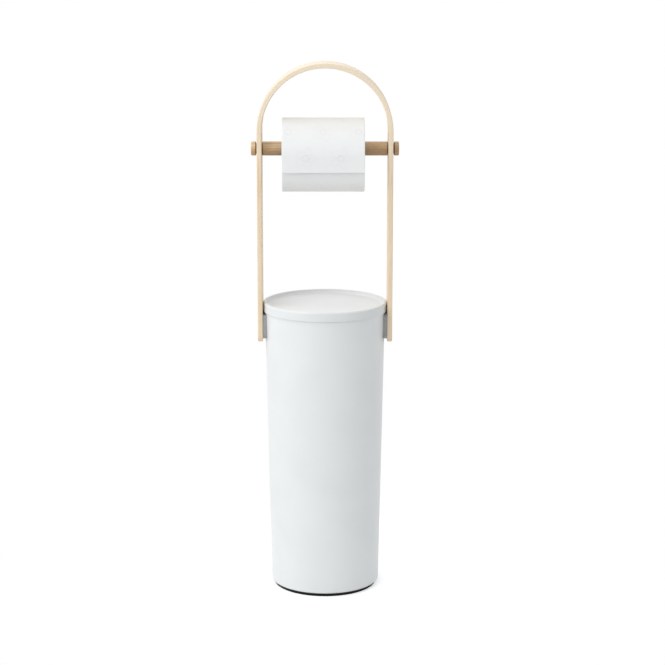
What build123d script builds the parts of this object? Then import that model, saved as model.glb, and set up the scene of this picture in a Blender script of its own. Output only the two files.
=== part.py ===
from build123d import *
import os

# Freestanding toilet roll holder, in millimetres.
# A tapered canister holds the spare rolls and has a lift-off tray for a lid. A bentwood
# handle is clamped to the canister's rim at both sides and arches over it. A turned rod
# hangs in two keyholes in the handle's legs and carries the roll in use.
# +Z is up, the rod lies along X and -Y is the front. The origin is on the floor, under
# the middle of the base.

os.makedirs("parts", exist_ok=True)

# Base, from the floor up
floor_pad_height = 1.8
floor_pad_inset = 0.6
floor_pad_width = 7.6
cover_thickness = 2.4
cover_fit = 0.5
upstand_wall = 2.0
upstand_height = 2.8
ballast_thickness = 8.0
ballast_side_gap = 0.7
ballast_top_gap = 0.4
ballast_hole_gap = 0.5

# Bosses under the canister's floor, and the screws into them
boss_count = 3
boss_circle_radius = 44.0
boss_radius = 4.5
pilot_radius = 1.5
pilot_depth = 7.4
base_screw_gap = 0.05
base_screw_length = 8.4
base_screw_head_radius = 3.5
cover_hole_gap = 0.4
cross_slot_length = 3.6
cross_slot_width = 0.8
cross_slot_depth = 1.2

# Canister
canister_height = 341.8
canister_foot_radius = 66.5
canister_rim_radius = 73.1
canister_wall = 2.8
canister_floor_thickness = 2.6
canister_foot_round = 2.4
canister_rim_round = 0.6
canister_floor_round = 3.0

# Lid
lid_overhang = 2.0
lid_height = 11.5
lid_rim_wall = 3.2
lid_skirt_wall = 3.5
lid_web = 2.2
lid_edge_round = 2.0
lid_inner_edge_round = 0.6
tray_depth = 5.5
tray_corner_round = 4.0
plug_depth = 6.0
plug_wall = 1.6
plug_fit = 0.4

# Bentwood handle
lid_to_handle_gap = 0.5
band_thickness = 5.9
band_width = 40.0
leg_length = 255.9
leg_below_rim = 36.9
band_end_round = 8.0
band_edge_round = 1.0

# Saddles between the legs and the tapered wall
saddle_below_rim = 2.3
saddle_height = 30.2
saddle_inset = 1.3
saddle_corner_round = 4.0
saddle_seat_gap = 0.1

# Clamp pads inside the wall
pad_below_plug = 1.0
pad_height = 23.0
pad_width = 24.0
pad_thickness = 4.6
pad_corner_round = 3.0
pad_seat_gap = 0.3

# Machine screws and nuts that clamp leg, saddle, wall and pad
bolt_pitch = 13.0
bolt_radius = 2.0
bolt_gap = 0.2
bolt_head_gap = 0.05
bolt_head_radius = 4.0
bolt_head_land = 0.3
bolt_socket_flats = 2.5
bolt_socket_depth = 1.5
nut_flats = 7.0
nut_height = 3.2
nut_thread_gap = 0.05
nut_pocket_gap = 0.1

# Rod and the keyholes it hangs in
rod_below_arch = 21.55
rod_radius = 8.4
rod_neck_radius = 6.0
rod_knob_length = 6.2
rod_inner_gap = 0.3
rod_outer_gap = 1.0
rod_edge_round = 1.2
rod_seat_gap = 0.3
keyhole_rise = 10.0
keyhole_gap = 0.45

# Paper roll
roll_width = 98.5
roll_radius = 44.6
roll_left_shift = 2.0
core_bore_radius = 16.2
core_wall = 1.2
core_fit = 0.05
core_hang_gap = 0.3
loose_sheet_thickness = 0.5
loose_sheet_drop = 15.9

# Heights that follow from the sizes above
cover_top = floor_pad_height + cover_thickness
skirt_foot = cover_top
floor_underside = skirt_foot + ballast_thickness + ballast_top_gap
floor_top = floor_underside + canister_floor_thickness
rim = skirt_foot + canister_height
lid_top = rim + lid_height
tray_floor = lid_top - tray_depth
lid_underside = tray_floor - lid_web
plug_foot = rim - plug_depth
leg_end = rim - leg_below_rim
arch_centre = leg_end + leg_length
rod_axis = arch_centre - rod_below_arch
saddle_middle = rim - saddle_below_rim - saddle_height / 2
pad_middle = plug_foot - pad_below_plug - pad_height / 2
bolt_heights = [pad_middle - bolt_pitch / 2, pad_middle + bolt_pitch / 2]
roll_axis = rod_axis + rod_radius + core_hang_gap - core_bore_radius

# Radii and reaches that follow from the sizes above
cover_radius = canister_foot_radius - canister_wall - cover_fit
ballast_radius = cover_radius - upstand_wall - ballast_side_gap
lid_radius = canister_rim_radius + lid_overhang
band_inside = lid_radius + lid_to_handle_gap
band_outside = band_inside + band_thickness
seat_radius = rod_neck_radius + rod_seat_gap
release_radius = rod_radius + keyhole_gap
bolt_hole_radius = bolt_radius + bolt_gap
core_outer_radius = core_bore_radius + core_wall

sides = {"left": -1, "right": 1}


def wall_outside(height):
    """Outer radius of the tapered wall at a height above the floor."""
    share = (height - skirt_foot) / canister_height
    return canister_foot_radius + share * (canister_rim_radius - canister_foot_radius)


def wall_inside(height):
    """Inner radius of the tapered wall at a height above the floor."""
    return wall_outside(height) - canister_wall


def side_plane(side, distance):
    """Plane facing outward along X at one side, with its own Y axis pointing up."""
    return Plane(origin=(side * distance, 0, 0), x_dir=(0, side, 0), z_dir=(side, 0, 0))


pad_face = wall_inside(pad_middle) - pad_thickness
bolt_spots = [(0, height) for height in bolt_heights]

# Canister shell: wall, floor and skirt in one turned section, then bosses and holes
with BuildPart() as canister_shell:
    with BuildSketch(Plane.XZ):
        with BuildLine():
            FilletPolyline(
                (0, floor_underside),
                (wall_inside(floor_underside), floor_underside),
                (wall_inside(skirt_foot), skirt_foot),
                (wall_outside(skirt_foot), skirt_foot),
                (wall_outside(rim), rim),
                (wall_inside(rim), rim),
                (wall_inside(floor_top), floor_top),
                (0, floor_top),
                radius=[
                    0,
                    0,
                    0,
                    canister_foot_round,
                    canister_rim_round,
                    canister_rim_round,
                    canister_floor_round,
                    0,
                ],
                close=True,
            )
        make_face()
    revolve(axis=Axis.Z)
    with BuildSketch(Plane.XY.offset(skirt_foot)):
        with PolarLocations(boss_circle_radius, boss_count, start_angle=90):
            Circle(boss_radius)
    extrude(amount=floor_underside - skirt_foot)
    with BuildSketch(Plane.XY.offset(skirt_foot)):
        with PolarLocations(boss_circle_radius, boss_count, start_angle=90):
            Circle(pilot_radius)
    extrude(amount=pilot_depth, mode=Mode.SUBTRACT)
    with BuildSketch(Plane.YZ):
        with Locations(*bolt_spots):
            Circle(bolt_hole_radius)
    extrude(amount=band_inside, both=True, mode=Mode.SUBTRACT)

canister_shell.part.label = "canister_shell"
export_step(canister_shell.part, "parts/canister_shell.step")

# Ballast disc: steel plate lying on the cover, with a hole round each boss
with BuildPart() as ballast_disc:
    with BuildSketch(Plane.XY.offset(cover_top)):
        Circle(ballast_radius)
        with PolarLocations(boss_circle_radius, boss_count, start_angle=90):
            Circle(boss_radius + ballast_hole_gap, mode=Mode.SUBTRACT)
    extrude(amount=ballast_thickness)

ballast_disc.part.label = "ballast_disc"
export_step(ballast_disc.part, "parts/ballast_disc.step")

# Base cover: plate with an upstand inside the skirt and countersunk screw holes
with BuildPart() as base_cover:
    with BuildSketch(Plane.XY.offset(floor_pad_height)):
        Circle(cover_radius)
    extrude(amount=cover_thickness)
    with BuildSketch(Plane.XY.offset(cover_top)):
        Circle(cover_radius)
        Circle(cover_radius - upstand_wall, mode=Mode.SUBTRACT)
    extrude(amount=upstand_height)
    with BuildSketch(Plane.XY.offset(floor_pad_height)):
        with PolarLocations(boss_circle_radius, boss_count, start_angle=90):
            Circle(pilot_radius + cover_hole_gap)
    extrude(amount=cover_thickness, mode=Mode.SUBTRACT)
    with BuildSketch(Plane.XY.offset(floor_pad_height)):
        with PolarLocations(boss_circle_radius, boss_count, start_angle=90):
            Circle(base_screw_head_radius + base_screw_gap)
    extrude(amount=base_screw_head_radius - pilot_radius, taper=45, mode=Mode.SUBTRACT)

base_cover.part.label = "base_cover"
export_step(base_cover.part, "parts/base_cover.step")

# Base pad: rubber ring under the cover's edge
with BuildPart() as base_pad:
    with BuildSketch(Plane.XY):
        Circle(cover_radius - floor_pad_inset)
        Circle(cover_radius - floor_pad_inset - floor_pad_width, mode=Mode.SUBTRACT)
    extrude(amount=floor_pad_height)

base_pad.part.label = "base_pad"
export_step(base_pad.part, "parts/base_pad.step")

# Base screws: countersunk, at core diameter, with a cross slot
base_screw_radius = pilot_radius - base_screw_gap
with BuildPart() as base_screws:
    with BuildSketch(Plane.XY.offset(floor_pad_height)):
        with PolarLocations(boss_circle_radius, boss_count, start_angle=90):
            Circle(base_screw_radius)
    extrude(amount=base_screw_length)
    with BuildSketch(Plane.XY.offset(floor_pad_height)):
        with PolarLocations(boss_circle_radius, boss_count, start_angle=90):
            Circle(base_screw_head_radius)
    extrude(amount=base_screw_head_radius - base_screw_radius, taper=45)
    with BuildSketch(Plane.XY.offset(floor_pad_height)):
        with PolarLocations(boss_circle_radius, boss_count, start_angle=90):
            Rectangle(cross_slot_length, cross_slot_width)
            Rectangle(cross_slot_width, cross_slot_length)
    extrude(amount=cross_slot_depth, mode=Mode.SUBTRACT)

base_screws.part.label = "base_screws"
export_step(base_screws.part, "parts/base_screws.step")

# Lid tray: one turned section with a raised rim, a skirt on the canister's rim and a
# plug ring inside it
plug_outer = wall_inside(plug_foot) - plug_fit
with BuildPart() as lid_tray:
    with BuildSketch(Plane.XZ):
        with BuildLine():
            FilletPolyline(
                (0, lid_underside),
                (plug_outer - plug_wall, lid_underside),
                (plug_outer - plug_wall, plug_foot),
                (plug_outer, plug_foot),
                (plug_outer, lid_underside),
                (lid_radius - lid_skirt_wall, lid_underside),
                (lid_radius - lid_skirt_wall, rim),
                (lid_radius, rim),
                (lid_radius, lid_top),
                (lid_radius - lid_rim_wall, lid_top),
                (lid_radius - lid_rim_wall, tray_floor),
                (0, tray_floor),
                radius=[
                    0,
                    0,
                    0,
                    0,
                    0,
                    0,
                    0,
                    lid_inner_edge_round,
                    lid_edge_round,
                    lid_inner_edge_round,
                    tray_corner_round,
                    0,
                ],
                close=True,
            )
        make_face()
    revolve(axis=Axis.Z)

lid_tray.part.label = "lid_tray"
export_step(lid_tray.part, "parts/lid_tray.step")

# Bentwood handle: the strip's arch, rounded at its ends and eased along its edges, then
# the keyholes and the countersunk screw holes
with BuildPart() as bentwood_handle:
    with BuildSketch(Plane.XZ):
        with BuildLine():
            Line((band_outside, leg_end), (band_outside, arch_centre))
            CenterArc((0, arch_centre), band_outside, 0, 180)
            Polyline(
                (-band_outside, arch_centre),
                (-band_outside, leg_end),
                (-band_inside, leg_end),
                (-band_inside, arch_centre),
            )
            CenterArc((0, arch_centre), band_inside, 0, 180)
            Polyline(
                (band_inside, arch_centre),
                (band_inside, leg_end),
                (band_outside, leg_end),
            )
        make_face()
    extrude(amount=band_width / 2, both=True)
    fillet(bentwood_handle.edges().filter_by(Axis.X), band_end_round)
    bend_lines = bentwood_handle.edges().filter_by(Axis.Y).filter_by_position(
        Axis.Z, arch_centre - 1, arch_centre + 1
    )
    eased = bentwood_handle.edges().filter_by(Axis.X, reverse=True)
    fillet([edge for edge in eased if edge not in bend_lines], band_edge_round)
    with BuildSketch(Plane.YZ):
        with Locations((0, rod_axis)):
            Circle(seat_radius)
        with Locations((0, rod_axis + keyhole_rise / 2)):
            Rectangle(2 * seat_radius, keyhole_rise)
        with Locations((0, rod_axis + keyhole_rise)):
            Circle(release_radius)
    extrude(amount=band_outside, both=True, mode=Mode.SUBTRACT)
    with BuildSketch(Plane.YZ):
        with Locations(*bolt_spots):
            Circle(bolt_hole_radius)
    extrude(amount=band_outside, both=True, mode=Mode.SUBTRACT)
    for side in sides.values():
        with BuildSketch(side_plane(side, band_outside)):
            with Locations(*bolt_spots):
                Circle(bolt_head_radius + bolt_head_gap)
        extrude(amount=-bolt_head_land, mode=Mode.SUBTRACT)
        with BuildSketch(side_plane(side, band_outside - bolt_head_land)):
            with Locations(*bolt_spots):
                Circle(bolt_head_radius + bolt_head_gap)
        extrude(amount=bolt_radius - bolt_head_radius, taper=45, mode=Mode.SUBTRACT)

bentwood_handle.part.label = "bentwood_handle"
export_step(bentwood_handle.part, "parts/bentwood_handle.step")

# Saddles: rounded blocks against the legs, hollowed to the taper of the wall
for name, side in sides.items():
    with BuildPart() as saddle:
        with BuildSketch(side_plane(side, band_inside)):
            with Locations((0, saddle_middle)):
                RectangleRounded(
                    band_width - 2 * saddle_inset, saddle_height, saddle_corner_round
                )
        extrude(amount=-band_width / 2)
        with BuildSketch(Plane.XZ):
            with BuildLine():
                Polyline(
                    (0, leg_end),
                    (wall_outside(leg_end) + saddle_seat_gap, leg_end),
                    (wall_outside(rim) + saddle_seat_gap, rim),
                    (0, rim),
                    close=True,
                )
            make_face()
        revolve(axis=Axis.Z, mode=Mode.SUBTRACT)
        with BuildSketch(side_plane(side, band_inside)):
            with Locations(*bolt_spots):
                Circle(bolt_hole_radius)
        extrude(amount=-band_width / 2, mode=Mode.SUBTRACT)
    saddle.part.label = "saddle_" + name
    export_step(saddle.part, "parts/saddle_" + name + ".step")

# Clamp pads: blocks against the inside of the wall, with a pocket for each nut
for name, side in sides.items():
    with BuildPart() as clamp_pad:
        with BuildSketch(side_plane(side, pad_face)):
            with Locations((0, pad_middle)):
                RectangleRounded(pad_width, pad_height, pad_corner_round)
        extrude(amount=2 * pad_thickness)
        with BuildSketch(Plane.XZ):
            with BuildLine():
                Polyline(
                    (0, leg_end),
                    (wall_inside(leg_end) - pad_seat_gap, leg_end),
                    (wall_inside(rim) - pad_seat_gap, rim),
                    (0, rim),
                    close=True,
                )
            make_face()
        revolve(axis=Axis.Z, mode=Mode.INTERSECT)
        with BuildSketch(side_plane(side, pad_face)):
            with Locations(*bolt_spots):
                Circle(bolt_hole_radius)
        extrude(amount=2 * pad_thickness, mode=Mode.SUBTRACT)
        with BuildSketch(side_plane(side, pad_face)):
            with Locations(*bolt_spots):
                RegularPolygon(nut_flats / 2 + nut_pocket_gap, 6, major_radius=False)
        extrude(amount=nut_height, mode=Mode.SUBTRACT)
    clamp_pad.part.label = "clamp_pad_" + name
    export_step(clamp_pad.part, "parts/clamp_pad_" + name + ".step")

# Handle screws: countersunk machine screws with hexagon sockets, flush with the band
# outside and with the clamp pad inside
for name, side in sides.items():
    with BuildPart() as handle_screws:
        with BuildSketch(side_plane(side, pad_face)):
            with Locations(*bolt_spots):
                Circle(bolt_radius)
        extrude(amount=band_outside - pad_face)
        with BuildSketch(side_plane(side, band_outside)):
            with Locations(*bolt_spots):
                Circle(bolt_head_radius)
        extrude(amount=-bolt_head_land)
        with BuildSketch(side_plane(side, band_outside - bolt_head_land)):
            with Locations(*bolt_spots):
                Circle(bolt_head_radius)
        extrude(amount=bolt_radius - bolt_head_radius, taper=45)
        with BuildSketch(side_plane(side, band_outside)):
            with Locations(*bolt_spots):
                RegularPolygon(bolt_socket_flats / 2, 6, major_radius=False)
        extrude(amount=-bolt_socket_depth, mode=Mode.SUBTRACT)
    handle_screws.part.label = "handle_screws_" + name
    export_step(handle_screws.part, "parts/handle_screws_" + name + ".step")

# Handle nuts: hexagon nuts in the clamp pads' pockets
for name, side in sides.items():
    with BuildPart() as handle_nuts:
        with BuildSketch(side_plane(side, pad_face)):
            with Locations(*bolt_spots):
                RegularPolygon(nut_flats / 2, 6, major_radius=False)
                Circle(bolt_radius + nut_thread_gap, mode=Mode.SUBTRACT)
        extrude(amount=nut_height)
    handle_nuts.part.label = "handle_nuts_" + name
    export_step(handle_nuts.part, "parts/handle_nuts_" + name + ".step")

# Roll rod: one turned dowel with a groove for the handle and a knob at each end
shoulder = band_inside - rod_inner_gap
knob_start = band_outside + rod_outer_gap
rod_end = knob_start + rod_knob_length
with BuildPart() as roll_rod:
    with BuildSketch(Plane(origin=(0, 0, rod_axis), x_dir=(1, 0, 0), z_dir=(0, -1, 0))):
        with BuildLine():
            FilletPolyline(
                (-rod_end, 0),
                (-rod_end, rod_radius),
                (-knob_start, rod_radius),
                (-knob_start, rod_neck_radius),
                (-shoulder, rod_neck_radius),
                (-shoulder, rod_radius),
                (shoulder, rod_radius),
                (shoulder, rod_neck_radius),
                (knob_start, rod_neck_radius),
                (knob_start, rod_radius),
                (rod_end, rod_radius),
                (rod_end, 0),
                radius=[0] + 2 * [rod_edge_round] + [0, 0] + 2 * [rod_edge_round]
                + [0, 0] + 2 * [rod_edge_round] + [0],
                close=True,
            )
        make_face()
    revolve(axis=Axis((0, 0, rod_axis), (1, 0, 0)))

roll_rod.part.label = "roll_rod"
export_step(roll_rod.part, "parts/roll_rod.step")

# Roll core: cardboard tube that hangs on the rod, a little left of its middle
with BuildPart() as roll_core:
    with BuildSketch(Plane.YZ.offset(-roll_left_shift)):
        with Locations((0, roll_axis)):
            Circle(core_outer_radius)
            Circle(core_bore_radius, mode=Mode.SUBTRACT)
    extrude(amount=roll_width / 2, both=True)

roll_core.part.label = "roll_core"
export_step(roll_core.part, "parts/roll_core.step")

# Paper roll: the wound sheet, with its loose end hanging straight down at the front
with BuildPart() as paper_roll:
    with BuildSketch(Plane.YZ.offset(-roll_left_shift)):
        with Locations((0, roll_axis)):
            Circle(roll_radius)
        with Locations((-roll_radius, roll_axis)):
            Rectangle(loose_sheet_thickness, loose_sheet_drop, align=(Align.MIN, Align.MAX))
        with Locations((0, roll_axis)):
            Circle(core_outer_radius + core_fit, mode=Mode.SUBTRACT)
    extrude(amount=roll_width / 2, both=True)

paper_roll.part.label = "paper_roll"
export_step(paper_roll.part, "parts/paper_roll.step")
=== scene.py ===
import logging
import math
from collections.abc import Callable, Sequence
from dataclasses import dataclass
from enum import Enum
from functools import partial
from typing import Any

import bpy
import numpy as np
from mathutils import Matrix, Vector, noise


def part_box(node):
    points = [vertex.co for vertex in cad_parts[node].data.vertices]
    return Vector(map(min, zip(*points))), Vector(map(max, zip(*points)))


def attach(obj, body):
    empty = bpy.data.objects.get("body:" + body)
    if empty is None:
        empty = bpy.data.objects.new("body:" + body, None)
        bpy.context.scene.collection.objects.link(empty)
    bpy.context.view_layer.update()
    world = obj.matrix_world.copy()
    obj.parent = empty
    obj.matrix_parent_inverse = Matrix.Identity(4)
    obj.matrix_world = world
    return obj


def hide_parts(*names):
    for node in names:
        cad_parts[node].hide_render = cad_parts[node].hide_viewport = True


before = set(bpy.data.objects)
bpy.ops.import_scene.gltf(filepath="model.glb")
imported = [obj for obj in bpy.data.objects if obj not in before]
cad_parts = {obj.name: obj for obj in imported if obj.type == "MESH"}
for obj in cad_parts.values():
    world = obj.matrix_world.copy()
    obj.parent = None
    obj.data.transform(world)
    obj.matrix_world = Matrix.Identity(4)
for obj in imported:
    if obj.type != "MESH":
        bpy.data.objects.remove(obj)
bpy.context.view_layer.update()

# Freestanding toilet roll holder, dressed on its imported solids. Metres, +Z up, the rod
# along X and -Y the front. Sizes are written in millimetres and turned by MM.
MM = 0.001

log = logging.getLogger("toilet_roll_holder")

Colour = tuple[float, float, float, float]
Place = tuple[float, float, float]
Face = tuple[int, ...]
AddNode = Callable[..., bpy.types.Node]


class Body(Enum):
    """The bodies that pieces ride on."""

    STAND = "stand"
    LID = "lid"
    ROD = "rod"
    ROLL = "roll"


class Slot(Enum):
    """A material slot of the record, named for the tissue."""

    TISSUE = "tissue_paper"


class Spin(Enum):
    """How a metal's surface was finished."""

    TURNED = "turned"
    PLATED = "plated"


def linear(code: str) -> Colour:
    """Turns an sRGB hex colour to the linear values that the shaders take.

    Args:
        code: The colour as "#rrggbb".

    Returns:
        Linear red, green and blue, with an alpha of 1.
    """
    parts = [int(code[place : place + 2], 16) / 255 for place in (1, 3, 5)]
    red, green, blue = (
        part / 12.92 if part <= 0.04045 else ((part + 0.055) / 1.055) ** 2.4 for part in parts
    )
    return (red, green, blue, 1.0)


def per_mm(size: float) -> float:
    """Texture scale in object coordinates that makes features of this size in millimetres."""
    return 1.0 / (size * MM)


def add_node(
    tree: bpy.types.NodeTree, kind: str, values: dict[str | int, Any] | None = None
) -> bpy.types.Node:
    """Adds one node with its settings and its incoming links.

    Args:
        tree: The node tree of a material or the world.
        kind: Blender's name of the node type, without the "ShaderNode" in front.
        values: What each property holds, and each input socket by its name or number. A
            socket or a node as the value is linked in, a node by its first output. "stops"
            holds a colour ramp's (position, colour) pairs, in rising order.

    Returns:
        The new node.
    """
    node = tree.nodes.new("ShaderNode" + kind)
    for key, value in (values or {}).items():
        if key == "stops":
            for count, (position, colour) in enumerate(value):
                ramp = node.color_ramp.elements
                stop = ramp[count] if count < 2 else ramp.new(position)
                stop.position = position
                stop.color = colour
        elif isinstance(value, bpy.types.Node):
            tree.links.new(value.outputs[0], node.inputs[key])
        elif isinstance(value, bpy.types.NodeSocket):
            tree.links.new(value, node.inputs[key])
        elif isinstance(key, str) and hasattr(node, key):
            setattr(node, key, value)
        else:
            node.inputs[key].default_value = value
    return node


def seen_rays(node: AddNode) -> bpy.types.Node:
    """Tells the rays that show a thing from those that only light by it.

    Args:
        node: Adds a node to a material or the world.

    Returns:
        The node that gives 1 for camera, glossy and transmission rays, and else 0.
    """
    path = node("LightPath")
    seen = node("Math", {
        "operation": "ADD", 0: path.outputs["Is Camera Ray"], 1: path.outputs["Is Glossy Ray"]
    })
    return node("Math", {
        "operation": "ADD", "use_clamp": True, 0: seen, 1: path.outputs["Is Transmission Ray"]
    })


def dress(node: str, material: bpy.types.Material) -> None:
    """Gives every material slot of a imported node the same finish.

    Args:
        node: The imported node's name.
        material: The finish that it gets.
    """
    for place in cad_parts[node].material_slots:
        place.material = material
    log.info("%s wears %s", node, material.name)


def between(here: Sequence[int], there: Sequence[int]) -> list[Face]:
    """Joins two rows of vertices by four-sided faces.

    Args:
        here: The vertices of one row. A ring names its first vertex again at the end.
        there: The vertices of the other row, as many.

    Returns:
        The faces, each as its vertices.
    """
    return list(zip(here, here[1:], there[1:], there))


@dataclass(frozen=True)
class Finish:
    """What the finishes share: a name, and the way a material is made from their nodes."""

    name: str

    def surface(self, node: AddNode) -> bpy.types.Node:
        """Lays out the nodes of the finish. Each finish has its own.

        Args:
            node: Adds a node to the material.

        Returns:
            The node that gives the surface.
        """
        raise NotImplementedError

    def material(self) -> bpy.types.Material:
        """Builds the node material.

        Returns:
            The finished material.
        """
        made = bpy.data.materials.new(self.name)
        made.use_nodes = True
        made.node_tree.nodes.clear()
        node = partial(add_node, made.node_tree)
        node("OutputMaterial", {"Surface": self.surface(node)})
        return made


@dataclass(frozen=True)
class MouldedAbs(Finish):
    """ABS, injection moulded in a finely eroded tool.

    It gives the eye an even, milky colour with a soft satin sheen, a barely visible
    leather of tool texture close up, and a slow waviness where the melt shrank.
    """

    colour: str
    deep_colour: str
    roughness: float = 0.42
    shine: float = 0.5
    texture_size: float = 0.7
    texture_depth: float = 0.012
    sink_size: float = 55.0
    sink_depth: float = 0.10
    scuff_size: float = 9.0

    def surface(self, node: AddNode) -> bpy.types.Node:
        """Lays out the moulded plastic.

        Args:
            node: Adds a node to the material.

        Returns:
            The node that gives the surface.
        """
        where = node("TexCoord").outputs["Object"]
        pigment = node("TexNoise", {
            "Scale": per_mm(self.sink_size), "Detail": 3.0, "Vector": where
        })
        tint = node("ValToRGB", {
            "stops": [(0.3, linear(self.deep_colour)), (0.6, linear(self.colour))], 0: pigment
        })
        scuffs = node("TexNoise", {
            "Scale": per_mm(self.scuff_size), "Detail": 6.0, "Roughness": 0.7, "Vector": where
        })
        gloss = node("MapRange", {
            "From Min": 0.35, "From Max": 0.7, "To Min": self.roughness - 0.04,
            "To Max": self.roughness + 0.06, "Value": scuffs,
        })
        sink = node("Bump", {"Strength": 0.5, "Distance": self.sink_depth * MM, "Height": pigment})
        # The tool's texture, drawn 0.7 mm wide because the real one is too fine to show
        erosion = node("TexNoise", {
            "Scale": per_mm(self.texture_size), "Detail": 2.0, "Vector": where
        })
        grain = node("Bump", {
            "Strength": 0.6, "Distance": self.texture_depth * MM, "Height": erosion, "Normal": sink
        })
        return node("BsdfPrincipled", {
            "IOR": 1.54, "Specular IOR Level": self.shine, "Base Color": tint, "Roughness": gloss,
            "Normal": grain,
        })


@dataclass(frozen=True)
class MouldedNylon(Finish):
    """Glass-filled nylon, injection moulded.

    It gives the eye a dull mid grey with a coarse, dry texture and faint paler flow
    marks where the fibres come to the surface.
    """

    colour: str
    flow_colour: str
    roughness: float = 0.62
    texture_size: float = 0.5
    texture_depth: float = 0.03
    flow_size: float = 7.0

    def surface(self, node: AddNode) -> bpy.types.Node:
        """Lays out the filled nylon.

        Args:
            node: Adds a node to the material.

        Returns:
            The node that gives the surface.
        """
        where = node("TexCoord").outputs["Object"]
        drawn = node("Mapping", {"Scale": (1.0, 0.35, 1.0), "Vector": where})
        flow = node("TexNoise", {
            "Scale": per_mm(self.flow_size), "Detail": 5.0, "Roughness": 0.65, "Vector": drawn
        })
        tint = node("ValToRGB", {
            "stops": [(0.4, linear(self.colour)), (0.75, linear(self.flow_colour))], 0: flow
        })
        erosion = node("TexNoise", {
            "Scale": per_mm(self.texture_size), "Detail": 3.0, "Vector": where
        })
        grain = node("Bump", {
            "Strength": 0.8, "Distance": self.texture_depth * MM, "Height": erosion
        })
        return node("BsdfPrincipled", {
            "Roughness": self.roughness, "IOR": 1.53, "Base Color": tint, "Normal": grain
        })


@dataclass(frozen=True)
class MouldedRubber(Finish):
    """Black nitrile rubber, compression moulded.

    It gives the eye a deep matte black that stays soft grey at a grazing angle, with
    pale dust caught in a fine pebble.
    """

    colour: str
    dust_colour: str
    pebble_size: float = 0.6
    pebble_depth: float = 0.04
    dust_size: float = 5.0

    def surface(self, node: AddNode) -> bpy.types.Node:
        """Lays out the rubber.

        Args:
            node: Adds a node to the material.

        Returns:
            The node that gives the surface.
        """
        where = node("TexCoord").outputs["Object"]
        pebble = node("TexVoronoi", {"Scale": per_mm(self.pebble_size), "Vector": where})
        dust = node("TexNoise", {
            "Scale": per_mm(self.dust_size), "Detail": 6.0, "Roughness": 0.7, "Vector": where
        })
        tint = node("ValToRGB", {
            "stops": [(0.5, linear(self.colour)), (0.85, linear(self.dust_colour))], 0: dust
        })
        grain = node("Bump", {
            "Strength": 0.5, "Distance": self.pebble_depth * MM, "Height": pebble
        })
        return node("BsdfPrincipled", {
            "Roughness": 0.85, "IOR": 1.52, "Specular IOR Level": 0.2, "Base Color": tint,
            "Normal": grain,
        })


@dataclass(frozen=True)
class FinishedSteel(Finish):
    """Steel, either turned stainless or zinc plated.

    Turned stainless gives the eye a bright warm-grey with fine rings round the screw's
    axis. Zinc plate gives a paler, bluish sheen with a cloudy, slightly milky bloom.
    """

    colour: str
    bloom_colour: str
    spin: Spin
    roughness: float = 0.3
    mark_size: float = 1.0
    mark_depth: float = 0.01
    bloom_size: float = 6.0

    def surface(self, node: AddNode) -> bpy.types.Node:
        """Lays out the steel.

        Args:
            node: Adds a node to the material.

        Returns:
            The node that gives the surface.
        """
        where = node("TexCoord").outputs["Object"]
        stretch = (8.0, 1.0, 1.0) if self.spin is Spin.TURNED else (1.0, 1.0, 1.0)
        drawn = node("Mapping", {"Scale": stretch, "Vector": where})
        marks = node("TexNoise", {
            "Scale": per_mm(self.mark_size), "Detail": 5.0, "Roughness": 0.6, "Vector": drawn
        })
        bloom = node("TexNoise", {
            "Scale": per_mm(self.bloom_size), "Detail": 4.0, "Vector": where
        })
        tint = node("ValToRGB", {
            "stops": [(0.35, linear(self.colour)), (0.7, linear(self.bloom_colour))], 0: bloom
        })
        gloss = node("MapRange", {
            "To Min": self.roughness - 0.08, "To Max": self.roughness + 0.12, "Value": marks
        })
        grain = node("Bump", {"Strength": 0.4, "Distance": self.mark_depth * MM, "Height": marks})
        return node("BsdfPrincipled", {
            "Metallic": 1.0, "Base Color": tint, "Roughness": gloss, "Normal": grain
        })


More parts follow.
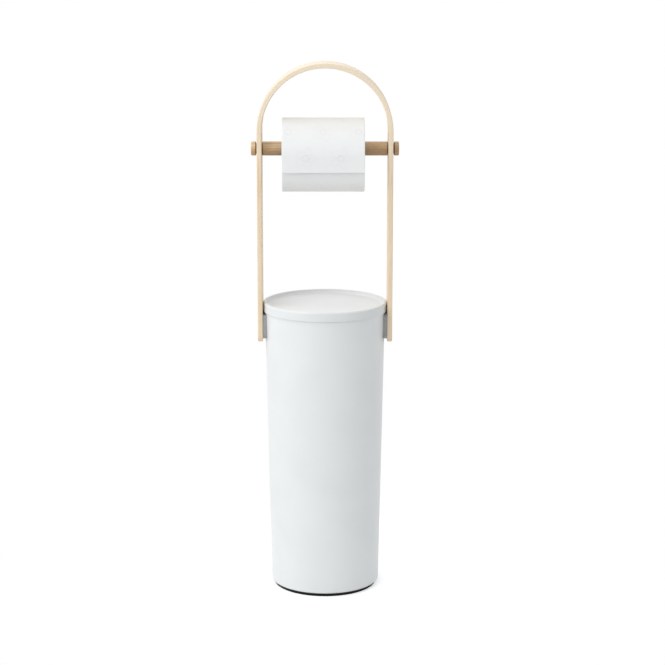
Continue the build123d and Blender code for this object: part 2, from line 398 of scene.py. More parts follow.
@dataclass(frozen=True)
class LaminatedBirch(Finish):
    """Birch veneers, glued round a mould as one strip and matt lacquered.

    It gives the eye pale cream wood whose grain runs along the strip: fine streaks on
    the broad faces, and on the edges the plies themselves, each in its own tone with a
    thin darker glue line between.
    """

    pale: str
    middle: str
    dark: str
    glue: str
    top_highlight: str
    glue_share: float = 0.16
    ply: float = 0.915
    ply_start: float = 0.28
    ply_shift: float = 31.0
    grain_length: float = 90.0
    grain_width: float = 1.5
    grain_depth: float = 0.03
    patch_size: float = 38.0
    fleck_width: float = 0.4
    # Heights from the bend over which the painted highlight fades in
    highlight_from: float = -70.0
    highlight_to: float = 45.0
    bend_height: float = 565.0
    bend_radius: float = 78.55
    strip_inside: float = 75.6

    def surface(self, node: AddNode) -> bpy.types.Node:
        """Lays out the plies, their grain and their glue lines.

        Args:
            node: Adds a node to the material.

        Returns:
            The node that gives the surface.
        """
        where = node("TexCoord").outputs["Object"]
        axes = node("SeparateXYZ", {0: where})
        # Along the strip, through its thickness and across its width, round the bend too
        over = node("Math", {
            "operation": "SUBTRACT", 0: axes.outputs["Z"], 1: self.bend_height * MM
        })
        rise = node("Math", {"operation": "MAXIMUM", 0: over, 1: 0.0})
        fall = node("Math", {"operation": "MINIMUM", 0: over, 1: 0.0})
        turn = node("Math", {"operation": "ARCTAN2", 0: rise, 1: axes.outputs["X"]})
        side = node("Math", {"operation": "SIGN", 0: axes.outputs["X"]})
        leg = node("Math", {"operation": "MULTIPLY", 0: side, 1: fall})
        along = node("Math", {
            "operation": "MULTIPLY_ADD", 0: turn, 1: self.bend_radius * MM, 2: leg
        })
        spoke = node("CombineXYZ", {"X": axes.outputs["X"], "Z": rise})
        reach = node("VectorMath", {"operation": "LENGTH", 0: spoke})
        depth = node("Math", {
            "operation": "SUBTRACT", 0: reach.outputs["Value"],
            1: (self.strip_inside - self.ply_start) * MM,
        })
        plies = node("Math", {"operation": "DIVIDE", 0: depth, 1: self.ply * MM})
        count = node("Math", {"operation": "FLOOR", 0: plies})
        within = node("Math", {"operation": "FRACT", 0: plies})
        strand = node("Math", {"operation": "MULTIPLY", 0: count, 1: self.ply_shift * MM})
        strip = node("CombineXYZ", {"X": along, "Y": axes.outputs["Y"], "Z": strand})
        # Streaks, drawn 1.5 mm wide because the real grain is too fine to show
        squeeze = self.grain_width / self.grain_length
        long_grain = node("Mapping", {"Scale": (squeeze, 1.0, 1.0), "Vector": strip})
        streaks = node("TexNoise", {
            "Scale": per_mm(self.grain_width), "Detail": 5.0, "Roughness": 0.6,
            "Vector": long_grain,
        })
        patches = node("TexNoise", {
            "Scale": per_mm(self.patch_size), "Detail": 3.0, "Vector": strip
        })
        tone = node("Math", {"operation": "MULTIPLY_ADD", 0: patches, 1: 0.45, 2: streaks})
        wood = node("ValToRGB", {
            "stops": [
                (0.50, linear(self.pale)),
                (0.72, linear(self.middle)),
                (0.95, linear(self.dark)),
            ],
            0: tone,
        })
        # Short fibre flecks, drawn 0.4 mm wide, wider than the real ones
        fleck_lay = node("Mapping", {"Scale": (0.06, 1.0, 1.0), "Vector": strip})
        flecks = node("TexNoise", {
            "Scale": per_mm(self.fleck_width), "Detail": 2.0, "Vector": fleck_lay
        })
        fleck_share = node("MapRange", {
            "From Min": 0.62, "From Max": 0.8, "To Max": 0.18, "Value": flecks
        })
        glue_share = node("MapRange", {
            "From Max": 0.16, "To Min": self.glue_share, "To Max": 0.0, "Value": within
        })
        # Painted highlight: the bend and the top of the legs are paler, as if lit from above
        top_highlight = node("MapRange", {
            "interpolation_type": "SMOOTHSTEP", "From Min": self.highlight_from * MM,
            "From Max": self.highlight_to * MM, "To Max": 0.7, "Value": over,
        })
        skin = wood
        layers = ((fleck_share, self.dark), (glue_share, self.glue), (top_highlight, self.top_highlight))
        for share, colour in layers:
            mixed = node("Mix", {"data_type": "RGBA", 0: share, 6: skin, 7: linear(colour)})
            skin = mixed.outputs[2]
        grain = node("Bump", {
            "Strength": 0.4, "Distance": self.grain_depth * MM, "Height": streaks
        })
        pores = node("Bump", {
            "Strength": 0.4, "Distance": self.grain_depth * MM, "invert": True,
            "Height": fleck_share, "Normal": grain,
        })
        gloss = node("MapRange", {"To Min": 0.42, "To Max": 0.62, "Value": streaks})
        return node("BsdfPrincipled", {
            "IOR": 1.5, "Coat Weight": 0.08, "Coat Roughness": 0.35, "Base Color": skin,
            "Roughness": gloss, "Normal": pores,
        })


@dataclass(frozen=True)
class TurnedBeech(Finish):
    """Beech dowel, turned and oiled.

    It gives the eye a warm mid brown with year rings that run as long bands along the rod
    and as arcs on its sawn ends, and short dark pores in line with the grain. Painted shade
    darkens each groove and its shoulders, and the underside through the heartwood tone.
    """

    early: str
    late: str
    pore: str
    heart_and_shade: str
    groove_shade: str
    axis_height: float = 543.45
    # The pith lies under the rod, so the darker heartwood paints shade on the underside
    pith_ahead: float = 10.0
    pith_below: float = 24.0
    grain_slope: float = 1.2
    heart_reach: float = 22.5
    sap_reach: float = 29.3
    ring_width: float = 3.1
    wander_size: float = 7.0
    streak_width: float = 1.3
    pore_width: float = 0.56
    pore_depth: float = 0.05
    # Where the painted shade in and beside each groove lies
    groove_middle: float = 78.9
    groove_half: float = 4.1
    groove_radius: float = 8.9
    shade_depth: float = 1.0
    shade_fade: float = 1.3

    def surface(self, node: AddNode) -> bpy.types.Node:
        """Lays out the year rings, pores and burnished grooves.

        Args:
            node: Adds a node to the material.

        Returns:
            The node that gives the surface.
        """
        where = node("TexCoord").outputs["Object"]
        lay = node("Mapping", {
            "vector_type": "TEXTURE",
            "Location": (0.0, -self.pith_ahead * MM, (self.axis_height - self.pith_below) * MM),
            "Rotation": (0.0, math.radians(-self.grain_slope), 0.0), "Vector": where,
        })
        slow = node("Mapping", {"Scale": (0.08, 1.0, 1.0), "Vector": lay})
        wander = node("TexNoise", {
            "Scale": per_mm(self.wander_size), "Detail": 3.0, "Vector": slow
        })
        section = node("VectorMath", {"operation": "MULTIPLY", 0: lay, 1: (0.0, 1.0, 1.0)})
        pith = node("VectorMath", {"operation": "LENGTH", 0: section})
        years = node("Math", {
            "operation": "DIVIDE", 0: pith.outputs["Value"], 1: self.ring_width * MM
        })
        bent = node("Math", {"operation": "MULTIPLY_ADD", 0: wander, 1: 0.9, 2: years})
        season = node("Math", {"operation": "FRACT", 0: bent})
        rings = node("ValToRGB", {
            "stops": [
                (0.0, linear(self.early)),
                (0.55, linear(self.early)),
                (0.88, linear(self.late)),
                (1.0, linear(self.early)),
            ],
            0: season,
        })
        # Darker heartwood round a pith under the rod: wood tone and painted shade on the underside
        heart_and_shade_share = node("MapRange", {
            "From Min": self.heart_reach * MM, "From Max": self.sap_reach * MM, "To Min": 0.7,
            "To Max": 0.0, "Value": pith.outputs["Value"],
        })
        fine = node("Mapping", {"Scale": (0.05, 1.0, 1.0), "Vector": where})
        streaks = node("TexNoise", {
            "Scale": per_mm(self.streak_width), "Detail": 5.0, "Roughness": 0.62, "Vector": fine
        })
        shade = node("MapRange", {
            "From Min": 0.35, "From Max": 0.72, "To Max": 0.45, "Value": streaks
        })
        pore_lay = node("Mapping", {"Scale": (0.09, 1.0, 1.0), "Vector": where})
        # Pores, drawn 0.56 mm wide, several times the real width, so that they show
        pores = node("TexNoise", {
            "Scale": per_mm(self.pore_width), "Detail": 2.0, "Vector": pore_lay
        })
        pore_share = node("MapRange", {
            "From Min": 0.6, "From Max": 0.72, "To Max": 0.75, "Value": pores
        })
        # Painted shade: each groove and the shoulders beside it are darkened where the leg shades
        # them
        middle = node("VectorMath", {
            "operation": "SUBTRACT", 0: where, 1: (0.0, 0.0, self.axis_height * MM)
        })
        ring = node("VectorMath", {"operation": "MULTIPLY", 0: middle, 1: (0.0, 1.0, 1.0)})
        radius = node("VectorMath", {"operation": "LENGTH", 0: ring})
        deep = node("MapRange", {
            "From Min": (self.groove_radius - self.shade_depth) * MM,
            "From Max": self.groove_radius * MM, "To Min": 1.0, "To Max": 0.0,
            "Value": radius.outputs["Value"],
        })
        axes = node("SeparateXYZ", {0: middle})
        reach = node("Math", {"operation": "ABSOLUTE", 0: axes.outputs["X"]})
        past = node("Math", {"operation": "SUBTRACT", 0: reach, 1: self.groove_middle * MM})
        aside = node("Math", {"operation": "ABSOLUTE", 0: past})
        beside = node("MapRange", {
            "From Min": self.groove_half * MM,
            "From Max": (self.groove_half + self.shade_fade) * MM, "To Min": 1.0, "To Max": 0.0,
            "Value": aside,
        })
        # Share of the painted shade in the groove
        groove_shade_share = node("Math", {"operation": "MULTIPLY", 0: deep, 1: beside})
        skin = rings
        for share, colour in (
            (heart_and_shade_share, self.heart_and_shade),
            (shade, self.late),
            (pore_share, self.pore),
            (groove_shade_share, self.groove_shade),
        ):
            mixed = node("Mix", {"data_type": "RGBA", 0: share, 6: skin, 7: linear(colour)})
            skin = mixed.outputs[2]
        grain = node("Bump", {
            "Strength": 0.5, "Distance": self.pore_depth * MM, "invert": True, "Height": pore_share
        })
        gloss = node("MapRange", {"To Min": 0.4, "To Max": 0.65, "Value": streaks})
        return node("BsdfPrincipled", {
            "IOR": 1.5, "Base Color": skin, "Roughness": gloss, "Normal": grain
        })


@dataclass(frozen=True)
class EmbossedTissue(Finish):
    """Two-ply cellulose tissue, creped and embossed between rollers.

    It gives the eye a soft bright white with no shine, a fine crepe across the sheet
    and a faint dotted rosette in rows, pressed in from the face. The roller's coordinates
    come from the mesh: U is across the sheet and V along it, in metres.
    """

    colour: str
    fold_colour: str
    motif_pitch: float = 42.0
    row_pitch: float = 33.6
    motif_radius: float = 10.5
    eye_radius: float = 3.78
    petals: float = 5.0
    petal: float = 3.0
    beads: float = 35.0
    stamp_depth: float = 0.2
    crepe_size: float = 1.1
    crepe_depth: float = 0.12
    fibre_size: float = 0.5
    fibre_depth: float = 0.05

    def surface(self, node: AddNode) -> bpy.types.Node:
        """Lays out the crepe and the pressed rosettes.

        Args:
            node: Adds a node to the material.

        Returns:
            The node that gives the surface.
        """
        sheet = node("UVMap", {"uv_map": "roller"})
        in_mm = node("VectorMath", {"operation": "SCALE", "Scale": 1.0 / MM, 0: sheet})
        axes = node("SeparateXYZ", {0: in_mm})
        # Rows of rosettes, every second row moved on by half a pitch
        row = node("Math", {"operation": "DIVIDE", 0: axes.outputs["Y"], 1: self.row_pitch})
        row_count = node("Math", {"operation": "FLOOR", 0: row})
        odd = node("Math", {"operation": "MODULO", 0: row_count, 1: 2.0})
        column = node("Math", {"operation": "DIVIDE", 0: axes.outputs["X"], 1: self.motif_pitch})
        moved = node("Math", {"operation": "MULTIPLY_ADD", 0: odd, 1: 0.5, 2: column})
        across = node("Math", {"operation": "FRACT", 0: moved})
        down = node("Math", {"operation": "FRACT", 0: row})
        cell = node("CombineXYZ", {"X": across, "Y": down})
        centred = node("VectorMath", {"operation": "SUBTRACT", 0: cell, 1: (0.5, 0.5, 0.0)})
        local = node("VectorMath", {
            "operation": "MULTIPLY", 0: centred, 1: (self.motif_pitch, self.row_pitch, 0.0)
        })
        reach = node("VectorMath", {"operation": "LENGTH", 0: local})
        local_axes = node("SeparateXYZ", {0: local})
        angle = node("Math", {
            "operation": "ARCTAN2", 0: local_axes.outputs["Y"], 1: local_axes.outputs["X"]
        })
        # Outer petals and a small eye, both drawn as dots
        petals = node("Math", {"operation": "MULTIPLY", 0: angle, 1: self.petals})
        wave = node("Math", {"operation": "COSINE", 0: petals})
        outline = node("Math", {
            "operation": "MULTIPLY_ADD", 0: wave, 1: self.petal, 2: self.motif_radius
        })
        gaps = []
        for line in (outline, self.eye_radius):
            off = node("Math", {"operation": "SUBTRACT", 0: reach.outputs["Value"], 1: line})
            gaps.append(node("Math", {"operation": "ABSOLUTE", 0: off}))
        nearest = node("Math", {"operation": "MINIMUM", 0: gaps[0], 1: gaps[1]})
        band = node("MapRange", {
            "From Min": 0.25, "From Max": 0.95, "To Min": 1.0, "To Max": 0.0, "Value": nearest
        })
        beat = node("Math", {"operation": "MULTIPLY", 0: angle, 1: self.beads})
        beads = node("Math", {"operation": "COSINE", 0: beat})
        bead_share = node("MapRange", {"From Min": -0.4, "From Max": 0.6, "Value": beads})
        press = node("Math", {"operation": "MULTIPLY", 0: band, 1: bead_share})
        # Crepe wrinkles run across the sheet; drawn 1.1 mm apart, coarser than the real ones
        crepe_lay = node("Mapping", {"Scale": (0.25, 1.0, 1.0), "Vector": sheet})
        crepe = node("TexNoise", {
            "Scale": per_mm(self.crepe_size), "Detail": 4.0, "Roughness": 0.55, "Vector": crepe_lay
        })
        fibres = node("TexNoise", {
            "Scale": per_mm(self.fibre_size), "Detail": 3.0, "Vector": sheet
        })
        tint = node("Mix", {
            "data_type": "RGBA", 0: press, 6: linear(self.colour), 7: linear(self.fold_colour)
        })
        soft = node("Bump", {"Strength": 0.35, "Distance": self.crepe_depth * MM, "Height": crepe})
        fuzz = node("Bump", {
            "Strength": 0.3, "Distance": self.fibre_depth * MM, "Height": fibres, "Normal": soft
        })
        stamp = node("Bump", {
            "Strength": 0.8, "Distance": self.stamp_depth * MM, "invert": True, "Height": press,
            "Normal": fuzz,
        })
        return node("BsdfPrincipled", {
            "Roughness": 0.95, "IOR": 1.47, "Specular IOR Level": 0.2, "Sheen Weight": 0.08,
            "Sheen Roughness": 0.6, "Base Color": tint.outputs[2], "Normal": stamp,
        })


@dataclass(frozen=True)
class WoundEdges(Finish):
    """The same tissue, cut off square with a saw across the wound log.

    It gives the eye hundreds of fine rings with soft, slightly furry edges and painted grey
    shade between the turns. The turns are drawn 0.4 mm apart, about twice the real step.
    """

    colour: str
    gap_shade: str
    axis_height: float = 535.95
    turn: float = 0.4
    turn_depth: float = 0.2
    wander_size: float = 9.0
    fur_size: float = 0.8

    def surface(self, node: AddNode) -> bpy.types.Node:
        """Lays out the wound sheet's edges.

        Args:
            node: Adds a node to the material.

        Returns:
            The node that gives the surface.
        """
        where = node("TexCoord").outputs["Object"]
        lay = node("Mapping", {
            "vector_type": "TEXTURE", "Location": (0.0, 0.0, self.axis_height * MM),
            "Vector": where,
        })
        section = node("VectorMath", {"operation": "MULTIPLY", 0: lay, 1: (0.0, 1.0, 1.0)})
        reach = node("VectorMath", {"operation": "LENGTH", 0: section})
        wander = node("TexNoise", {
            "Scale": per_mm(self.wander_size), "Detail": 3.0, "Vector": section
        })
        turns = node("Math", {"operation": "DIVIDE", 0: reach.outputs["Value"], 1: self.turn * MM})
        uneven = node("Math", {"operation": "MULTIPLY_ADD", 0: wander, 1: 3.0, 2: turns})
        edge = node("Math", {"operation": "PINGPONG", 0: uneven, 1: 0.5})
        fur = node("TexNoise", {
            "Scale": per_mm(self.fur_size), "Detail": 4.0, "Roughness": 0.7, "Vector": where
        })
        height = node("Math", {"operation": "MULTIPLY_ADD", 0: fur, 1: 0.5, 2: edge})
        # Painted shade in grey where the turns dip between each other
        tint = node("ValToRGB", {
            "stops": [(0.2, linear(self.gap_shade)), (0.6, linear(self.colour))], 0: height
        })
        grain = node("Bump", {"Strength": 0.7, "Distance": self.turn_depth * MM, "Height": height})
        return node("BsdfPrincipled", {
            "Roughness": 0.97, "IOR": 1.47, "Specular IOR Level": 0.15, "Base Color": tint,
            "Normal": grain,
        })


@dataclass(frozen=True)
class WoundBoard(Finish):
    """Grey chipboard strips, wound at an angle and glued to a tube.

    It gives the eye a dull grey-brown with a spiral seam every few centimetres, darker
    specks of recycled pulp and a furry cut at the ends.
    """

    colour: str
    seam_colour: str
    speck_colour: str
    axis_height: float = 535.95
    strip: float = 52.0
    seam_depth: float = 0.3
    pulp_size: float = 1.4
    pulp_depth: float = 0.08

    def surface(self, node: AddNode) -> bpy.types.Node:
        """Lays out the wound chipboard.

        Args:
            node: Adds a node to the material.

        Returns:
            The node that gives the surface.
        """
        where = node("TexCoord").outputs["Object"]
        lay = node("Mapping", {
            "vector_type": "TEXTURE", "Location": (0.0, 0.0, self.axis_height * MM),
            "Vector": where,
        })
        axes = node("SeparateXYZ", {0: lay})
        angle = node("Math", {"operation": "ARCTAN2", 0: axes.outputs["Z"], 1: axes.outputs["Y"]})
        turns = node("Math", {"operation": "DIVIDE", 0: angle, 1: 2 * math.pi})
        pitch = node("Math", {"operation": "DIVIDE", 0: axes.outputs["X"], 1: self.strip * MM})
        spiral = node("Math", {"operation": "ADD", 0: turns, 1: pitch})
        place = node("Math", {"operation": "FRACT", 0: spiral})
        seam = node("MapRange", {"From Max": 0.012, "To Min": 1.0, "To Max": 0.0, "Value": place})
        pulp = node("TexNoise", {
            "Scale": per_mm(self.pulp_size), "Detail": 6.0, "Roughness": 0.7, "Vector": where
        })
        board = node("ValToRGB", {
            "stops": [
                (0.3, linear(self.speck_colour)),
                (0.42, linear(self.colour)),
                (0.8, linear(self.colour)),
            ],
            0: pulp,
        })
        seamed = node("Mix", {"data_type": "RGBA", 0: seam, 6: board, 7: linear(self.seam_colour)})
        step = node("Bump", {"Strength": 0.8, "Distance": self.seam_depth * MM, "Height": place})
        grain = node("Bump", {
            "Strength": 0.5, "Distance": self.pulp_depth * MM, "Height": pulp, "Normal": step
        })
        return node("BsdfPrincipled", {
            "Roughness": 0.9, "IOR": 1.5, "Specular IOR Level": 0.25,
            "Base Color": seamed.outputs[2], "Normal": grain,
        })


@dataclass(frozen=True)
class MattePaper(Finish):
    """Seamless paper, uncoated, that the holder stands on.

    It gives the eye pure white away from the object and a soft grey where the base
    shades it, because near the object a part of its light is the real reflection.
    """

    colour: str
    glow: float = 0.5
    shadow_reach: float = 0.42
    shadow_core: float = 0.35
    tooth_size: float = 1.5
    tooth_depth: float = 0.02

    def surface(self, node: AddNode) -> bpy.types.Node:
        """Lays out the paper, shaded near the object and white farther off.

        Args:
            node: Adds a node to the material.

        Returns:
            The node that gives the surface.
        """
        where = node("TexCoord").outputs["Object"]
        reach = node("VectorMath", {"operation": "LENGTH", 0: where})
        far = node("MapRange", {
            "interpolation_type": "SMOOTHSTEP", "From Min": self.shadow_reach * self.shadow_core,
            "From Max": self.shadow_reach, "Value": reach.outputs["Value"],
        })
        tooth = node("TexNoise", {
            "Scale": per_mm(self.tooth_size), "Detail": 3.0, "Vector": where
        })
        grain = node("Bump", {"Strength": 0.1, "Distance": self.tooth_depth * MM, "Height": tooth})
        matte = node("BsdfDiffuse", {"Color": linear(self.colour), "Normal": grain})
        white = node("Emission", {"Color": linear("#ffffff")})
        glow = node("Emission", {"Color": linear("#ffffff"), "Strength": self.glow})
        shaded = node("AddShader", {0: matte, 1: glow})
        shown = node("MixShader", {0: far, 1: shaded, 2: white})
        seen = seen_rays(node)
        return node("MixShader", {0: seen, 1: matte, 2: shown})


@dataclass
class Base:
    """Black ring under the canister: cover, floor pad, screws and the ballast inside."""

    cover: MouldedAbs = MouldedAbs(
        name="black_abs_moulded",
        colour="#131314",
        deep_colour="#0f0f10",
        roughness=0.5,
        shine=0.16,
        texture_depth=0.03,
    )
    pad: MouldedRubber = MouldedRubber(
        name="black_nitrile_rubber_moulded", colour="#131313", dust_colour="#2b2a28"
    )
    screws: FinishedSteel = FinishedSteel(
        name="steel_zinc_plated",
        colour="#a9adb1",
        bloom_colour="#bfc2c6",
        spin=Spin.PLATED,
        roughness=0.38,
    )

    def build(self) -> None:
        """Dresses the base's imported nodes."""
        dress("base_cover", self.cover.material())
        dress("base_pad", self.pad.material())
        plated = self.screws.material()
        dress("base_screws", plated)
        dress("ballast_disc", plated)


@dataclass
class Canister:
    """Tapered tube for the spare rolls, with its lift-off lid."""

    shell: MouldedAbs = MouldedAbs(
        name="white_abs_moulded", colour="#eceeee", deep_colour="#e9ebeb"
    )
    # A trace greyer copy of the shell's plastic: painted shade on the lid
    lid: MouldedAbs = MouldedAbs(
        name="white_abs_lid_shaded", colour="#e8eaea", deep_colour="#e6e8e8"
    )

    def build(self) -> None:
        """Dresses the canister and the lid; the lid's greyer copy of the plastic is painted shade.
        """
        dress("canister_shell", self.shell.material())
        dress("lid_tray", self.lid.material())


@dataclass
class Handle:
    """Bentwood strip with its saddles, clamp pads, screws and nuts."""

    wood: LaminatedBirch = LaminatedBirch(
        name="birch_laminated_lacquered",
        pale="#f6e5cb",
        middle="#f0dabb",
        dark="#e4c8a2",
        glue="#cba983",
        # top_highlight is painted light on the bend
        top_highlight="#f8e8d0",
    )
    blocks: MouldedNylon = MouldedNylon(
        name="grey_nylon_moulded", colour="#999a9b", flow_colour="#a5a6a7"
    )
    fasteners: FinishedSteel = FinishedSteel(
        name="stainless_steel_turned",
        colour="#b7b5b1",
        bloom_colour="#c8c6c2",
        spin=Spin.TURNED,
        roughness=0.28,
    )

    def build(self) -> None:
        """Dresses the handle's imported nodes."""
        dress("bentwood_handle", self.wood.material())
        grey = self.blocks.material()
        steel = self.fasteners.material()
        for side in ("left", "right"):
            dress("saddle_" + side, grey)
            dress("clamp_pad_" + side, grey)
            dress("handle_screws_" + side, steel)
            dress("handle_nuts_" + side, steel)


@dataclass
class RollRod:
    """Turned rod that hangs in the handle's keyholes."""

    wood: TurnedBeech = TurnedBeech(
        name="beech_turned_oiled",
        early="#e3c7a0",
        late="#c9a67c",
        pore="#9a7754",
        # heart_and_shade is heartwood tone that also paints shade on the rod's underside
        heart_and_shade="#a27d57",
        # groove_shade is painted shade in the grooves and on the shoulders beside the legs
        groove_shade="#4a3626",
    )

    def build(self) -> None:
        """Dresses the rod."""
        dress("roll_rod", self.wood.material())


@dataclass
class TissueRoll:
    """Wound tissue with its loose sheet, on a cardboard core.

    The outline in the YZ plane is one closed path: up the loose sheet's face, once round
    the roll from the front over the top, and down the back of the loose sheet.
    """

    radius: float = 44.6
    width: float = 98.5
    bore: float = 17.45
    ply: float = 0.4
    drop: float = 15.9
    edge_round: float = 0.7
    sag: float = 0.16
    nick_pitch: float = 3.6
    nick_depth: float = 0.55
    curl: float = 0.35
    curl_bow: float = 0.4
    dent: float = 0.22
    dent_wave: float = 0.2
    dent_ring: float = 0.16
    wave: float = 31.0
    wave_round: float = 24.0
    crease: float = 9.0
    crease_round: float = 7.0
    curl_size: float = 19.0
    tear_size: float = 26.0
    turns_steps: int = 200
    sheet_steps: int = 14
    columns: int = 168
    rings: int = 26
    tissue: EmbossedTissue = EmbossedTissue(
        name="tissue_embossed", colour="#f4f5f4", fold_colour="#f1f2f1"
    )
    edges: WoundEdges = WoundEdges(
        # gap_shade is painted shade between the turns
        name="tissue_sawn_edges", colour="#f1f1ef", gap_shade="#cfcfcc"
    )
    board: WoundBoard = WoundBoard(
        name="chipboard_spiral_wound",
        colour="#a8967f",
        seam_colour="#6f604f",
        speck_colour="#857460",
    )

    def outline(self) -> tuple[np.ndarray, np.ndarray, np.ndarray]:
        """Lays out the closed path of the sheet in the YZ plane.

        Returns:
            The path's points as (y, z) from the roll's axis in millimetres, the outward
            direction at each point, and each point's distance along the sheet.
        """
        points: list[tuple[float, float]] = []
        outward: list[tuple[float, float]] = []
        along: list[float] = []
        for step in range(self.sheet_steps):
            height = -self.drop * (1 - step / self.sheet_steps)
            points.append((-self.radius, height))
            outward.append((-1.0, 0.0))
            along.append(self.drop + height)
        for step in range(self.turns_steps + 1):
            angle = 2 * math.pi * step / self.turns_steps
            reach = self.radius - self.ply * step / self.turns_steps
            points.append((-reach * math.cos(angle), reach * math.sin(angle)))
            outward.append((-math.cos(angle), math.sin(angle)))
            along.append(self.drop + self.radius * angle)
        end = along[-1]
        for step in range(1, self.sheet_steps + 1):
            height = -self.drop * step / self.sheet_steps
            points.append((-self.radius + self.ply, height))
            outward.append((-1.0, 0.0))
            along.append(end - height)
        return np.array(points), np.array(outward), np.array(along)

    def stations(self) -> np.ndarray:
        """Places the columns across the sheet, closer together where its edges round off.

        Returns:
            The columns' X values in millimetres, from left to right.
        """
        half = self.width / 2
        inner = np.linspace(-half + self.edge_round, half - self.edge_round, self.columns)
        turns = np.radians(np.linspace(0, 75, 5))
        rounding = half - self.edge_round * (1 - np.sin(turns))
        return np.concatenate([-rounding[::-1], inner[1:-1], rounding])

    def skin(self, across: np.ndarray, points: np.ndarray, outward: np.ndarray) -> np.ndarray:
        """Places the vertices of the sheet's two faces and of the roll's surface.

        Args:
            across: The columns' X values.
            points: The outline's points.
            outward: The outward direction at each point.

        Returns:
            Vertex positions in millimetres, as rows of the outline by columns.
        """
        half = self.width / 2
        rows = len(points)
        made = np.zeros((rows, len(across), 3))
        first_back = self.sheet_steps + self.turns_steps + 1
        for row in range(rows):
            y, z = points[row]
            free = row < self.sheet_steps or row >= first_back
            slack = min(1.0, -z / self.drop) if free else 0.0
            for column, x in enumerate(across):
                past = max(0.0, abs(x) - half + self.edge_round) / self.edge_round
                inset = self.edge_round * (1 - math.sqrt(max(0.0, 1 - past * past)))
                # Offsets such as 3.1 only choose another stretch of the noise
                ripple = noise.noise(
                    Vector((x / self.wave, y / self.wave_round, z / self.wave_round + 3.1))
                )
                fine = noise.noise(
                    Vector((x / self.crease, y / self.crease_round + 8.3, z / self.crease_round))
                )
                inset += self.sag * (0.6 + 0.6 * ripple + 0.25 * fine) * (1 - slack)
                curl = 0.0
                lift = 0.0
                if free:
                    bow = noise.noise(Vector((x / self.curl_size, 0.4, 7.7)))
                    curl = slack**2 * (self.curl + self.curl_bow * bow)
                    wander = noise.noise(Vector((x / self.tear_size, 5.2, 1.9)))
                    nick = max(0.0, math.cos(2 * math.pi * x / self.nick_pitch) - 0.55)
                    lift = slack**6 * (0.35 * wander + self.nick_depth * nick / 0.45)
                made[row, column] = (
                    x,
                    y - outward[row][0] * inset - curl,
                    z - outward[row][1] * inset + lift,
                )
        return made

    def end_rings(self, side: int) -> list[list[Place]]:
        """Places the vertices of one wound end, ring by ring from the brim to the bore.

        Args:
            side: -1 for the left end, 1 for the right one.

        Returns:
            The rings, each as its vertices' positions in millimetres.
        """
        brim = self.radius - self.ply - self.edge_round
        rings: list[list[Place]] = []
        for ring in range(1, self.rings + 1):
            reach = brim + (self.bore - brim) * (ring / self.rings)
            jitter = noise.noise(Vector((ring * 7.7, side * 3.0, 0.5)))
            made: list[Place] = []
            for step in range(self.turns_steps):
                angle = 2 * math.pi * step / self.turns_steps
                wave = noise.noise(
                    Vector((ring * 0.83 + 11 * side, math.cos(angle), math.sin(angle)))
                )
                dent = self.dent + self.dent_wave * wave + self.dent_ring * jitter
                x = side * (self.width / 2 - max(0.02, dent))
                made.append((x, -reach * math.cos(angle), reach * math.sin(angle)))
            rings.append(made)
        return rings

    def mesh(self) -> bpy.types.Mesh:
        """Joins skin, wound ends and bore into one closed mesh.

        Returns:
            The mesh, in metres, with the sheet's coordinates in the UV map "roller".
        """
        points, outward, along = self.outline()
        across = self.stations()
        skin = self.skin(across, points, outward)
        rows, columns = skin.shape[:2]
        vertices = [tuple(vertex) for vertex in skin.reshape(-1, 3)]
        uv_of = [(x * MM, far * MM) for far in along for x in across]
        faces: list[Face] = []
        for row in range(rows):
            here, after = row * columns, (row + 1) % rows * columns
            faces += between(range(here, here + columns), range(after, after + columns))
        skin_faces = len(faces)
        first = self.sheet_steps
        last = first + self.turns_steps
        bores: list[list[int]] = []
        for side, column in ((-1, 0), (1, columns - 1)):
            # Thin strip between the two faces of the loose sheet
            end: list[Face] = []
            for step in range(first):
                front = step * columns + column
                back = ((last + self.sheet_steps - step) % rows) * columns + column
                end.append((front, front + columns, back - columns, back))
            rings: list[list[int]] = []
            for ring in self.end_rings(side):
                start = len(vertices)
                rings.append([*range(start, start + self.turns_steps), start])
                vertices += ring
            bores.append(rings[-1])
            rim = [(first + step) * columns + column for step in range(self.turns_steps + 1)]
            end += between(rim, rings[0])
            end.append((rim[-1], rim[0], rings[0][0]))
            for outer, inner in zip(rings, rings[1:]):
                end += between(outer, inner)
            faces += end if side < 0 else [face[::-1] for face in end]
        faces += between(bores[0], bores[1])
        uv_of += [(0.0, 0.0)] * (len(vertices) - len(uv_of))
        low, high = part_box("roll_core")
        middle = (low + high) / 2
        placed = [(v[0] * MM + middle.x, v[1] * MM, v[2] * MM + middle.z) for v in vertices]
        mesh = bpy.data.meshes.new("wound_tissue")
        mesh.from_pydata(placed, [], faces)
        layer = mesh.uv_layers.new(name="roller")
        for loop in mesh.loops:
            layer.data[loop.index].uv = uv_of[loop.vertex_index]
        slots = [0] * skin_faces + [1] * (len(faces) - skin_faces)
        mesh.polygons.foreach_set("material_index", slots)
        mesh.polygons.foreach_set("use_smooth", [True] * len(faces))
        mesh.update()
        mesh.set_sharp_from_angle(angle=math.radians(50))
        return mesh

    def build(self) -> bpy.types.Object:
        """Makes the wound tissue and dresses the core.

        Returns:
            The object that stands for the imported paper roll.
        """
        mesh = self.mesh()
        mesh.materials.append(self.tissue.material())
        mesh.materials.append(self.edges.material())
        roll = bpy.data.objects.new("wound_tissue", mesh)
        bpy.context.scene.collection.objects.link(roll)
        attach(roll, Body.ROLL.value)
        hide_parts("paper_roll")
        dress("roll_core", self.board.material())
        log.info("%s has %d faces", roll.name, len(mesh.polygons))
        return roll


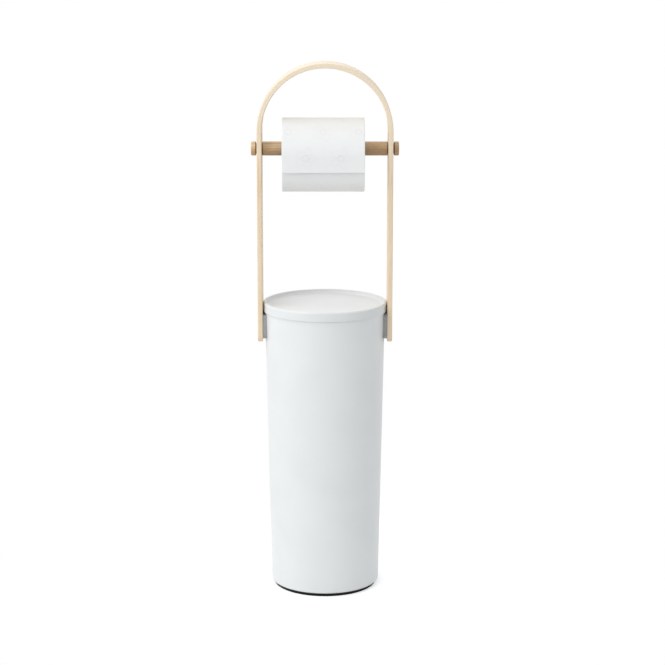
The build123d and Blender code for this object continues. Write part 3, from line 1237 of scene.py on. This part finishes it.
@dataclass(frozen=True)
class Softbox:
    """One soft white square lamp: where it hangs, its side, its power and what it faces."""

    name: str
    place: Place
    side: float
    power: float
    target: Place = (0.0, 0.0, 0.36)

    def build(self) -> bpy.types.Object:
        """Hangs the lamp and turns its face to the target.

        Returns:
            The lamp.
        """
        light = bpy.data.lights.new(self.name, "AREA")
        light.shape = "SQUARE"
        light.size = self.side
        light.energy = self.power
        lamp = bpy.data.objects.new(self.name, light)
        bpy.context.scene.collection.objects.link(lamp)
        lamp.location = self.place
        aim = Vector(self.target) - Vector(self.place)
        lamp.rotation_euler = aim.to_track_quat("-Z", "Y").to_euler()
        return lamp


@dataclass
class Studio:
    """White floor, soft daylight from the upper left, and the photograph's camera."""

    floor_rings: tuple[float, ...] = (0.2, 0.5, 1.2, 3.0, 8.0, 20.0)
    floor_steps: int = 64
    paper: MattePaper = MattePaper(name="white_paper_matte", colour="#e4e4e4")
    daylight: float = 0.69
    softboxes: tuple[Softbox, ...] = (
        Softbox(name="key_light", place=(-2.1, -2.0, 1.9), side=1.7, power=30.5),
        Softbox(name="top_light", place=(-1.3, -0.3, 2.3), side=1.4, power=10.5),
        Softbox(name="left_light", place=(-2.6, 0.1, 0.9), side=1.6, power=2.0),
        Softbox(name="back_light", place=(0.0, 2.4, 1.9), side=1.8, power=5.8),
    )
    camera_place: Place = (0.0, -2.419, 0.8467)
    camera_pitch: float = 12.34
    camera_lens: float = 109.57
    camera_shift: float = 0.01128

    def floor(self) -> bpy.types.Object:
        """Lays the floor paper as a disc of rings, finer near the object.

        Returns:
            The floor.
        """
        count = self.floor_steps
        turns = [2 * math.pi * step / count for step in range(count)]
        vertices = [(0.0, 0.0, 0.0)]
        rings: list[list[int]] = []
        for radius in self.floor_rings:
            start = len(vertices)
            rings.append([*range(start, start + count), start])
            vertices += [(radius * math.cos(turn), radius * math.sin(turn), 0.0) for turn in turns]
        faces: list[Face] = [(0, *pair) for pair in zip(rings[0], rings[0][1:])]
        for inner, outer in zip(rings, rings[1:]):
            faces += zip(inner, outer, outer[1:], inner[1:])
        mesh = bpy.data.meshes.new("floor_paper")
        mesh.from_pydata(vertices, [], faces)
        mesh.materials.append(self.paper.material())
        paper = bpy.data.objects.new("floor_paper", mesh)
        bpy.context.scene.collection.objects.link(paper)
        return paper

    def world(self) -> None:
        """Fills the room with even daylight, and shows it as white behind the object."""
        room = bpy.data.worlds.new("white_studio")
        bpy.context.scene.world = room
        room.use_nodes = True
        room.node_tree.nodes.clear()
        node = partial(add_node, room.node_tree)
        daylight = node("Background", {"Color": linear("#fbfdff"), "Strength": self.daylight})
        white = node("Background", {"Color": linear("#ffffff")})
        seen = seen_rays(node)
        both = node("MixShader", {0: seen, 1: daylight, 2: white})
        node("OutputWorld", {"Surface": both})

    def camera(self) -> bpy.types.Object:
        """Places the camera as fitted to the photograph.

        Returns:
            The camera.
        """
        lens = bpy.data.cameras.new("camera")
        lens.lens = self.camera_lens
        lens.sensor_width = 36.0
        lens.shift_x = self.camera_shift
        lens.clip_start = 0.05
        lens.clip_end = 100.0
        camera = bpy.data.objects.new("camera", lens)
        bpy.context.scene.collection.objects.link(camera)
        camera.location = self.camera_place
        camera.rotation_euler = (math.radians(90 - self.camera_pitch), 0.0, 0.0)
        bpy.context.scene.camera = camera
        return camera

    def build(self) -> None:
        """Sets up floor, light, camera and the plain view transform."""
        self.floor()
        self.world()
        for softbox in self.softboxes:
            softbox.build()
        self.camera()
        bpy.context.scene.view_settings.view_transform = "Standard"


def main() -> None:
    """Builds and dresses the holder, then the studio round it."""
    logging.basicConfig(level=logging.INFO, format="%(name)s: %(message)s")
    for assembly in (Base(), Canister(), Handle(), RollRod(), TissueRoll(), Studio()):
        log.info("building %s", type(assembly).__name__)
        assembly.build()


if __name__ == "__main__":
    main()
